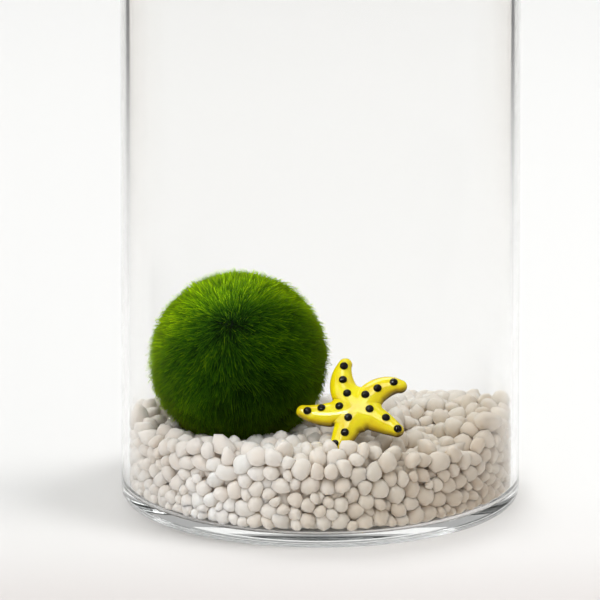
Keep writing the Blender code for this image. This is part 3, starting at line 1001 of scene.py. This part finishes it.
def random_turns(count):
    """Rotation matrices from random unit quaternions (w, x, y, z)."""
    w, x, y, z = unit(random.normal(0, 1, (count, 4))).T
    rows = (
        (1 - 2 * (y * y + z * z), 2 * (x * y - w * z), 2 * (x * z + w * y)),
        (2 * (x * y + w * z), 1 - 2 * (x * x + z * z), 2 * (y * z - w * x)),
        (2 * (x * z - w * y), 2 * (y * z + w * x), 1 - 2 * (x * x + y * y)),
    )
    return np.moveaxis(np.array(rows), 2, 0)


def pebbles(places, radii):
    """One turned and stretched stone at each place, moved off the wall and out of the floor's corner."""
    directions, faces = cube_sphere(PEBBLE_CUTS)
    forms = pebble_forms(directions)[random.integers(0, PEBBLE_FORMS, len(radii))]
    stretch = np.stack([random.uniform(*ends, len(radii)) for ends in STONE_STRETCH], axis=1)
    stones = directions[None] * forms[..., None] * stretch[:, None]
    stones = np.einsum("nij,npj->npi", random_turns(len(radii)), stones)
    stones *= radii[:, None, None] * STONE_SCALE
    points = stones + places[:, None]
    out = np.hypot(points[..., 0], points[..., 1]).max(axis=1)
    over = np.maximum(out - (JAR_INSIDE - WALL_CLEARANCE), 0)
    inward = places[:, :2] / np.maximum(np.hypot(places[:, 0], places[:, 1]), MM)[:, None]
    points[..., :2] -= (inward * over[:, None])[:, None]
    out = np.hypot(points[..., 0], points[..., 1])
    in_corner = np.clip(out - (JAR_INSIDE - FLOOR_CORNER), 0, FLOOR_CORNER)
    floor = BED_BOTTOM + FLOOR_CORNER - np.sqrt(FLOOR_CORNER**2 - in_corner**2)
    points[..., 2] += np.maximum(floor - points[..., 2], 0).max(axis=1)[:, None]
    return points, faces


def white_stone():
    """Milky white stone, warm in tone, each pebble a little lighter or darker, with fine pits and painted
    light and shade across the bed.
    """
    material, tree, shader = new_material("white stone", 0.6)
    # painted light and shade across the bed
    aside = vector_node(tree, "DOT_PRODUCT", own_place(tree), STONE_SHADED_SIDE)
    shade = ramp(tree, STONE_PAINTED_LIGHT_AND_SHADE, spread(tree, aside, STONE_SHADE_REACH))
    tone = ramp(tree, STONE_TONES, attribute(tree, "tone"))
    colour = blended(tree, 1.0, tone, shade, "MULTIPLY")
    tree.links.new(colour, shader.inputs["Base Color"])
    tree.links.new(place_group(tree, fine_grain, STONE_PITS), shader.inputs["Normal"])
    shader.inputs["Specular IOR Level"].default_value = 0.04
    shader.inputs["Subsurface Weight"].default_value = 1.0
    shader.inputs["Subsurface Radius"].default_value = STONE_SCATTERS
    shader.inputs["Subsurface Scale"].default_value = STONE_SCATTER_DEPTH
    let_light_through(tree, shader, colour, STONE_TRANSLUCENCE)
    return material


def shows(places):
    """Whether each stone lies close to the bed's surface, to the wall or to the floor."""
    out = np.hypot(places[:, 0], places[:, 1])
    under = bed_height(places[:, 0], places[:, 1]) - places[:, 2]
    near_floor = places[:, 2] < BED_BOTTOM + SEEN_FROM_BELOW
    return (out > JAR_INSIDE - SEEN_DEPTH) | (under < SEEN_DEPTH) | near_floor


def core_surface(columns):
    """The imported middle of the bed: rings out over its top, down its side and in again underneath.

    Its top is the bed's surface less a depth, or the moss ball's underside less half of that.
    """
    edge = JAR_INSIDE - CORE_DEPTH
    top_rings, side_rings, low_rings = CORE_RINGS
    r = np.concatenate([
        np.linspace(0, edge, top_rings), np.full(side_rings, edge), np.linspace(edge, 0, low_rings),
    ])[:, None]
    a = np.linspace(0, math.tau, columns, endpoint=False)[None, :]
    x, y = r * np.cos(a), r * np.sin(a)
    off = np.minimum(np.hypot(x - BALL_CENTRE[0], y - BALL_CENTRE[1]), BALL_RADIUS)
    under_ball = BALL_CENTRE[2] - np.sqrt(BALL_RADIUS**2 - off**2) - CORE_DEPTH / 2
    top = np.minimum(bed_height(x, y) - CORE_DEPTH, under_ball)
    low = BED_BOTTOM + CORE_ABOVE_FLOOR
    share = np.concatenate([
        np.zeros(top_rings), np.linspace(0.25, 0.75, side_rings), np.ones(low_rings),
    ])[:, None]
    return np.stack([x, y, top + (low - top) * share], axis=-1)


stone = white_stone()
radii = pebble_radii()
places = settle(radii)
kept = shows(places)
places, radii = places[kept], radii[kept]
core = core_surface(CORE_COLUMNS)
packed = new_piece(
    "gravel_core", core, grid_faces(*core.shape[:2], wrap_columns=True), stone,
    ["gravel_bed"], merge=JOIN,
)
point_value(packed, "tone", np.full(len(packed.data.vertices), 0.5))
stone_points, stone_faces = pebbles(places, radii)
tones = np.repeat(random.random((len(radii), 1)), stone_points.shape[1], axis=1)
for part in range(PEBBLE_PIECES):
    chosen = slice(part, None, PEBBLE_PIECES)
    points = stone_points[chosen]
    offsets = np.arange(len(points))[:, None, None] * points.shape[1]
    heap = new_piece(
        f"gravel_stones_{part + 1}", points, (stone_faces[None] + offsets).reshape(-1, 4),
        stone, ["gravel_bed"],
    )
    point_value(heap, "tone", tones[chosen])

# Floor and light
# The jar stands on a white table that runs out of the picture, in soft light from all round, with painted
# shade at its front.
# A broad lamp at the front left fills the glass and leaves out the table, which has a lamp of its own
# at the right. One behind lights the moss, one above the starfish, and the last is seen only as gloss.
FLOOR_SIZE = 12.0
FLOOR_GAP = 0.15 * MM
FLOOR_SHADE_STRETCH = (-0.1, 0.4)  # the table's painted shade changes from before the jar to behind it
FLOOR_PAINTED_SHADE = (  # from the front to the back of that stretch, darkest and warmest at the front
    (0.0, (0.59, 0.562, 0.548, 1)),
    (0.1, (0.662, 0.652, 0.642, 1)),
    (0.2, (0.687, 0.687, 0.68, 1)),
    (1.0, (0.719, 0.719, 0.711, 1)),
)
PAINTED_DARK_REFLECTION = (0.04, 0.04, 0.04, 1)  # painted reflection: the table before the jar is this dark, like a card, seen only in its gloss
DARK_REFLECTION_BACK = (-34 * MM, -20 * MM)  # the painted dark reflection fades out between these places, before the jar
DARK_REFLECTION_SLANT = 0.547  # and further back by this share of the way that it reaches to the sides
DARK_REFLECTION_SIDE = 43 * MM  # from here on
DARK_REFLECTION_CENTRE = (-50 * MM, -20 * MM, 0)
DARK_REFLECTION_FAR = (215 * MM, 255 * MM)
DARK_REFLECTION_NEAR = (95 * MM, 120 * MM)  # it starts here, clear of the jar's foot
WORLD_LIGHT = 0.44
WORLD_TONE = (1, 1, 0.99, 1)
LAMP_AIM = Vector((0, 0, 0.03))
LAMPS = (  # place, size and power
    ("front lamp", (-1.3, -0.7, 1.0), 1.4, 10),
    ("back lamp", (-0.2, 0.6, 1.1), 0.6, 4.4),
    ("top lamp", (-0.12, -0.48, 1.15), 0.6, 5.0),
    ("side lamp", (0.75, -0.18, 0.92), 0.55, 8.0),
    ("glare lamp", (-0.7, -1.0, 1.3), 0.5, 28),
)


def white_table():
    """A white table, darker and warmer towards the front by painted shade, with a painted dark reflection,
    like a card, that only the glass mirrors.
    """
    material, tree, shader = new_material("white table", 0.7)
    x, y, _ = own_axes(tree)
    aside = math_node(tree, "SUBTRACT", math_node(tree, "ABSOLUTE", x), DARK_REFLECTION_SIDE)
    slanted = math_node(tree, "MULTIPLY", math_node(tree, "MAXIMUM", aside, 0), DARK_REFLECTION_SLANT)
    behind = math_node(tree, "SUBTRACT", y, slanted)
    away = vector_node(tree, "DISTANCE", own_place(tree), DARK_REFLECTION_CENTRE)
    near = vector_node(tree, "LENGTH", own_place(tree))
    ray = tree.nodes.new("ShaderNodeLightPath")
    # painted reflection: only rays after their first gloss bounce see the table dark here
    dark_reflection = math_node(tree, "COMPARE", ray.outputs["Glossy Depth"], 1)
    for fade in (
        spread(tree, away, DARK_REFLECTION_FAR, (1, 0)),
        spread(tree, near, DARK_REFLECTION_NEAR),
        spread(tree, behind, DARK_REFLECTION_BACK, (1, 0)),
    ):
        dark_reflection = math_node(tree, "MULTIPLY", dark_reflection, fade)
    # painted shade, darker and warmer towards the front
    table_painted_shade = ramp(tree, FLOOR_PAINTED_SHADE, spread(tree, y, FLOOR_SHADE_STRETCH))
    tree.links.new(blended(tree, dark_reflection, table_painted_shade, PAINTED_DARK_REFLECTION), shader.inputs["Base Color"])
    shader.inputs["Specular IOR Level"].default_value = 0
    return material


def add_lamp(name, place, size, power):
    """A square area lamp that faces the jar's lower part."""
    lamp_data = bpy.data.lights.new(name, "AREA")
    lamp_data.size = size
    lamp_data.energy = power
    lamp = bpy.data.objects.new(name, lamp_data)
    lamp.location = place
    lamp.rotation_euler = (Vector(place) - LAMP_AIM).to_track_quat("Z", "Y").to_euler()
    bpy.context.scene.collection.objects.link(lamp)
    return lamp


half = FLOOR_SIZE / 2
corners = [(x * half, y * half, -FLOOR_GAP) for x, y in ((-1, -1), (1, -1), (1, 1), (-1, 1))]
floor_mesh = bpy.data.meshes.new("floor")
floor_mesh.from_pydata(corners, [], [(0, 1, 2, 3)])
floor_mesh.materials.append(white_table())
floor = bpy.data.objects.new("floor", floor_mesh)
bpy.context.scene.collection.objects.link(floor)

world = bpy.data.worlds.new("studio")
world.use_nodes = True
background = world.node_tree.nodes["Background"]
background.inputs["Strength"].default_value = WORLD_LIGHT
background.inputs["Color"].default_value = WORLD_TONE
scene = bpy.context.scene
scene.world = world
lamps = {name: add_lamp(name, place, size, power) for name, place, size, power in LAMPS}
lamps["front lamp"].visible_glossy = False
lamps["glare lamp"].visible_diffuse = False
for name, state in (("front lamp", "EXCLUDE"), ("side lamp", "INCLUDE")):
    lit = bpy.data.collections.new(f"lit by the {name}")
    lit.objects.link(floor)
    lit.collection_objects[0].light_linking.link_state = state
    lamps[name].light_linking.receiver_collection = lit
scene.view_settings.view_transform = "Standard"
scene.cycles.max_bounces = 24
scene.cycles.diffuse_bounces = 16
scene.cycles.glossy_bounces = 16
scene.cycles.transmission_bounces = 24
